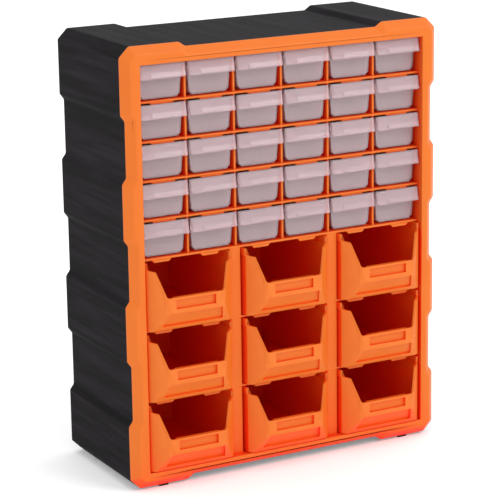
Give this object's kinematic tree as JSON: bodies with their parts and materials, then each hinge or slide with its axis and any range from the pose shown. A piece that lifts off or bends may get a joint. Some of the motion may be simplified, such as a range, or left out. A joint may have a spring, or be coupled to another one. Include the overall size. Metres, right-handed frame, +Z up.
{
  "type": "parts organizer",
  "caption": "Upright storage cabinet with a black shell, an orange front lattice, rows of clear pull-out drawers and larger open-front bins below.",
  "frame": {"origin": "on the ground under the middle of the whole organizer, with every drawer and bin pushed in", "axes": "+Z up, -Y out of the front, where the drawers open, +X to the right as seen from the front"},
  "size_m": [0.38, 0.172, 0.475],
  "materials": {
    "black_shell": "black moulded polypropylene with a fine satin grain",
    "orange_frame": "orange moulded polypropylene, satin",
    "orange_bin": "orange moulded polypropylene, satin, slightly see-through where thin",
    "clear_drawer": "frosted clear polypropylene"
  },
  "bodies": {
    "cabinet": {"casing_shell": "black_shell", "front_frame": "orange_frame", "lattice_shelves": "orange_frame", "lattice_dividers": "orange_frame", "lattice_posts": "orange_frame", "drawer_stop_tabs": "orange_frame", "bin_stop_tabs": "orange_frame", "feet": "orange_frame"},
    "drawer_row1_col1": {"drawer_row1_col1": "clear_drawer"},
    "drawer_row1_col2": {"drawer_row1_col2": "clear_drawer"},
    "drawer_row1_col3": {"drawer_row1_col3": "clear_drawer"},
    "drawer_row1_col4": {"drawer_row1_col4": "clear_drawer"},
    "drawer_row1_col5": {"drawer_row1_col5": "clear_drawer"},
    "drawer_row1_col6": {"drawer_row1_col6": "clear_drawer"},
    "drawer_row2_col1": {"drawer_row2_col1": "clear_drawer"},
    "drawer_row2_col2": {"drawer_row2_col2": "clear_drawer"},
    "drawer_row2_col3": {"drawer_row2_col3": "clear_drawer"},
    "drawer_row2_col4": {"drawer_row2_col4": "clear_drawer"},
    "drawer_row2_col5": {"drawer_row2_col5": "clear_drawer"},
    "drawer_row2_col6": {"drawer_row2_col6": "clear_drawer"},
    "drawer_row3_col1": {"drawer_row3_col1": "clear_drawer"},
    "drawer_row3_col2": {"drawer_row3_col2": "clear_drawer"},
    "drawer_row3_col3": {"drawer_row3_col3": "clear_drawer"},
    "drawer_row3_col4": {"drawer_row3_col4": "clear_drawer"},
    "drawer_row3_col5": {"drawer_row3_col5": "clear_drawer"},
    "drawer_row3_col6": {"drawer_row3_col6": "clear_drawer"},
    "drawer_row4_col1": {"drawer_row4_col1": "clear_drawer"},
    "drawer_row4_col2": {"drawer_row4_col2": "clear_drawer"},
    "drawer_row4_col3": {"drawer_row4_col3": "clear_drawer"},
    "drawer_row4_col4": {"drawer_row4_col4": "clear_drawer"},
    "drawer_row4_col5": {"drawer_row4_col5": "clear_drawer"},
    "drawer_row4_col6": {"drawer_row4_col6": "clear_drawer"},
    "drawer_row5_col1": {"drawer_row5_col1": "clear_drawer"},
    "drawer_row5_col2": {"drawer_row5_col2": "clear_drawer"},
    "drawer_row5_col3": {"drawer_row5_col3": "clear_drawer"},
    "drawer_row5_col4": {"drawer_row5_col4": "clear_drawer"},
    "drawer_row5_col5": {"drawer_row5_col5": "clear_drawer"},
    "drawer_row5_col6": {"drawer_row5_col6": "clear_drawer"},
    "bin_row1_col1": {"bin_row1_col1": "orange_bin"},
    "bin_row1_col2": {"bin_row1_col2": "orange_bin"},
    "bin_row1_col3": {"bin_row1_col3": "orange_bin"},
    "bin_row2_col1": {"bin_row2_col1": "orange_bin"},
    "bin_row2_col2": {"bin_row2_col2": "orange_bin"},
    "bin_row2_col3": {"bin_row2_col3": "orange_bin"},
    "bin_row3_col1": {"bin_row3_col1": "orange_bin"},
    "bin_row3_col2": {"bin_row3_col2": "orange_bin"},
    "bin_row3_col3": {"bin_row3_col3": "orange_bin"}
  },
  "joints": [
    {"name": "drawer_row1_col1_slide", "type": "slide", "parent": "cabinet", "child": "drawer_row1_col1", "axis": [0, -1, 0], "range_m": [0, 0.115]},
    {"name": "drawer_row1_col2_slide", "type": "slide", "parent": "cabinet", "child": "drawer_row1_col2", "axis": [0, -1, 0], "range_m": [0, 0.115]},
    {"name": "drawer_row1_col3_slide", "type": "slide", "parent": "cabinet", "child": "drawer_row1_col3", "axis": [0, -1, 0], "range_m": [0, 0.115]},
    {"name": "drawer_row1_col4_slide", "type": "slide", "parent": "cabinet", "child": "drawer_row1_col4", "axis": [0, -1, 0], "range_m": [0, 0.115]},
    {"name": "drawer_row1_col5_slide", "type": "slide", "parent": "cabinet", "child": "drawer_row1_col5", "axis": [0, -1, 0], "range_m": [0, 0.115]},
    {"name": "drawer_row1_col6_slide", "type": "slide", "parent": "cabinet", "child": "drawer_row1_col6", "axis": [0, -1, 0], "range_m": [0, 0.115]},
    {"name": "drawer_row2_col1_slide", "type": "slide", "parent": "cabinet", "child": "drawer_row2_col1", "axis": [0, -1, 0], "range_m": [0, 0.115]},
    {"name": "drawer_row2_col2_slide", "type": "slide", "parent": "cabinet", "child": "drawer_row2_col2", "axis": [0, -1, 0], "range_m": [0, 0.115]},
    {"name": "drawer_row2_col3_slide", "type": "slide", "parent": "cabinet", "child": "drawer_row2_col3", "axis": [0, -1, 0], "range_m": [0, 0.115]},
    {"name": "drawer_row2_col4_slide", "type": "slide", "parent": "cabinet", "child": "drawer_row2_col4", "axis": [0, -1, 0], "range_m": [0, 0.115]},
    {"name": "drawer_row2_col5_slide", "type": "slide", "parent": "cabinet", "child": "drawer_row2_col5", "axis": [0, -1, 0], "range_m": [0, 0.115]},
    {"name": "drawer_row2_col6_slide", "type": "slide", "parent": "cabinet", "child": "drawer_row2_col6", "axis": [0, -1, 0], "range_m": [0, 0.115]},
    {"name": "drawer_row3_col1_slide", "type": "slide", "parent": "cabinet", "child": "drawer_row3_col1", "axis": [0, -1, 0], "range_m": [0, 0.115]},
    {"name": "drawer_row3_col2_slide", "type": "slide", "parent": "cabinet", "child": "drawer_row3_col2", "axis": [0, -1, 0], "range_m": [0, 0.115]},
    {"name": "drawer_row3_col3_slide", "type": "slide", "parent": "cabinet", "child": "drawer_row3_col3", "axis": [0, -1, 0], "range_m": [0, 0.115]},
    {"name": "drawer_row3_col4_slide", "type": "slide", "parent": "cabinet", "child": "drawer_row3_col4", "axis": [0, -1, 0], "range_m": [0, 0.115]},
    {"name": "drawer_row3_col5_slide", "type": "slide", "parent": "cabinet", "child": "drawer_row3_col5", "axis": [0, -1, 0], "range_m": [0, 0.115]},
    {"name": "drawer_row3_col6_slide", "type": "slide", "parent": "cabinet", "child": "drawer_row3_col6", "axis": [0, -1, 0], "range_m": [0, 0.115]},
    {"name": "drawer_row4_col1_slide", "type": "slide", "parent": "cabinet", "child": "drawer_row4_col1", "axis": [0, -1, 0], "range_m": [0, 0.115]},
    {"name": "drawer_row4_col2_slide", "type": "slide", "parent": "cabinet", "child": "drawer_row4_col2", "axis": [0, -1, 0], "range_m": [0, 0.115]},
    {"name": "drawer_row4_col3_slide", "type": "slide", "parent": "cabinet", "child": "drawer_row4_col3", "axis": [0, -1, 0], "range_m": [0, 0.115]},
    {"name": "drawer_row4_col4_slide", "type": "slide", "parent": "cabinet", "child": "drawer_row4_col4", "axis": [0, -1, 0], "range_m": [0, 0.115]},
    {"name": "drawer_row4_col5_slide", "type": "slide", "parent": "cabinet", "child": "drawer_row4_col5", "axis": [0, -1, 0], "range_m": [0, 0.115]},
    {"name": "drawer_row4_col6_slide", "type": "slide", "parent": "cabinet", "child": "drawer_row4_col6", "axis": [0, -1, 0], "range_m": [0, 0.115]},
    {"name": "drawer_row5_col1_slide", "type": "slide", "parent": "cabinet", "child": "drawer_row5_col1", "axis": [0, -1, 0], "range_m": [0, 0.115]},
    {"name": "drawer_row5_col2_slide", "type": "slide", "parent": "cabinet", "child": "drawer_row5_col2", "axis": [0, -1, 0], "range_m": [0, 0.115]},
    {"name": "drawer_row5_col3_slide", "type": "slide", "parent": "cabinet", "child": "drawer_row5_col3", "axis": [0, -1, 0], "range_m": [0, 0.115]},
    {"name": "drawer_row5_col4_slide", "type": "slide", "parent": "cabinet", "child": "drawer_row5_col4", "axis": [0, -1, 0], "range_m": [0, 0.115]},
    {"name": "drawer_row5_col5_slide", "type": "slide", "parent": "cabinet", "child": "drawer_row5_col5", "axis": [0, -1, 0], "range_m": [0, 0.115]},
    {"name": "drawer_row5_col6_slide", "type": "slide", "parent": "cabinet", "child": "drawer_row5_col6", "axis": [0, -1, 0], "range_m": [0, 0.115]},
    {"name": "bin_row1_col1_slide", "type": "slide", "parent": "cabinet", "child": "bin_row1_col1", "axis": [0, -1, 0], "range_m": [0, 0.12]},
    {"name": "bin_row1_col2_slide", "type": "slide", "parent": "cabinet", "child": "bin_row1_col2", "axis": [0, -1, 0], "range_m": [0, 0.12]},
    {"name": "bin_row1_col3_slide", "type": "slide", "parent": "cabinet", "child": "bin_row1_col3", "axis": [0, -1, 0], "range_m": [0, 0.12]},
    {"name": "bin_row2_col1_slide", "type": "slide", "parent": "cabinet", "child": "bin_row2_col1", "axis": [0, -1, 0], "range_m": [0, 0.12]},
    {"name": "bin_row2_col2_slide", "type": "slide", "parent": "cabinet", "child": "bin_row2_col2", "axis": [0, -1, 0], "range_m": [0, 0.12]},
    {"name": "bin_row2_col3_slide", "type": "slide", "parent": "cabinet", "child": "bin_row2_col3", "axis": [0, -1, 0], "range_m": [0, 0.12]},
    {"name": "bin_row3_col1_slide", "type": "slide", "parent": "cabinet", "child": "bin_row3_col1", "axis": [0, -1, 0], "range_m": [0, 0.12]},
    {"name": "bin_row3_col2_slide", "type": "slide", "parent": "cabinet", "child": "bin_row3_col2", "axis": [0, -1, 0], "range_m": [0, 0.12]},
    {"name": "bin_row3_col3_slide", "type": "slide", "parent": "cabinet", "child": "bin_row3_col3", "axis": [0, -1, 0], "range_m": [0, 0.12]}
  ]
}
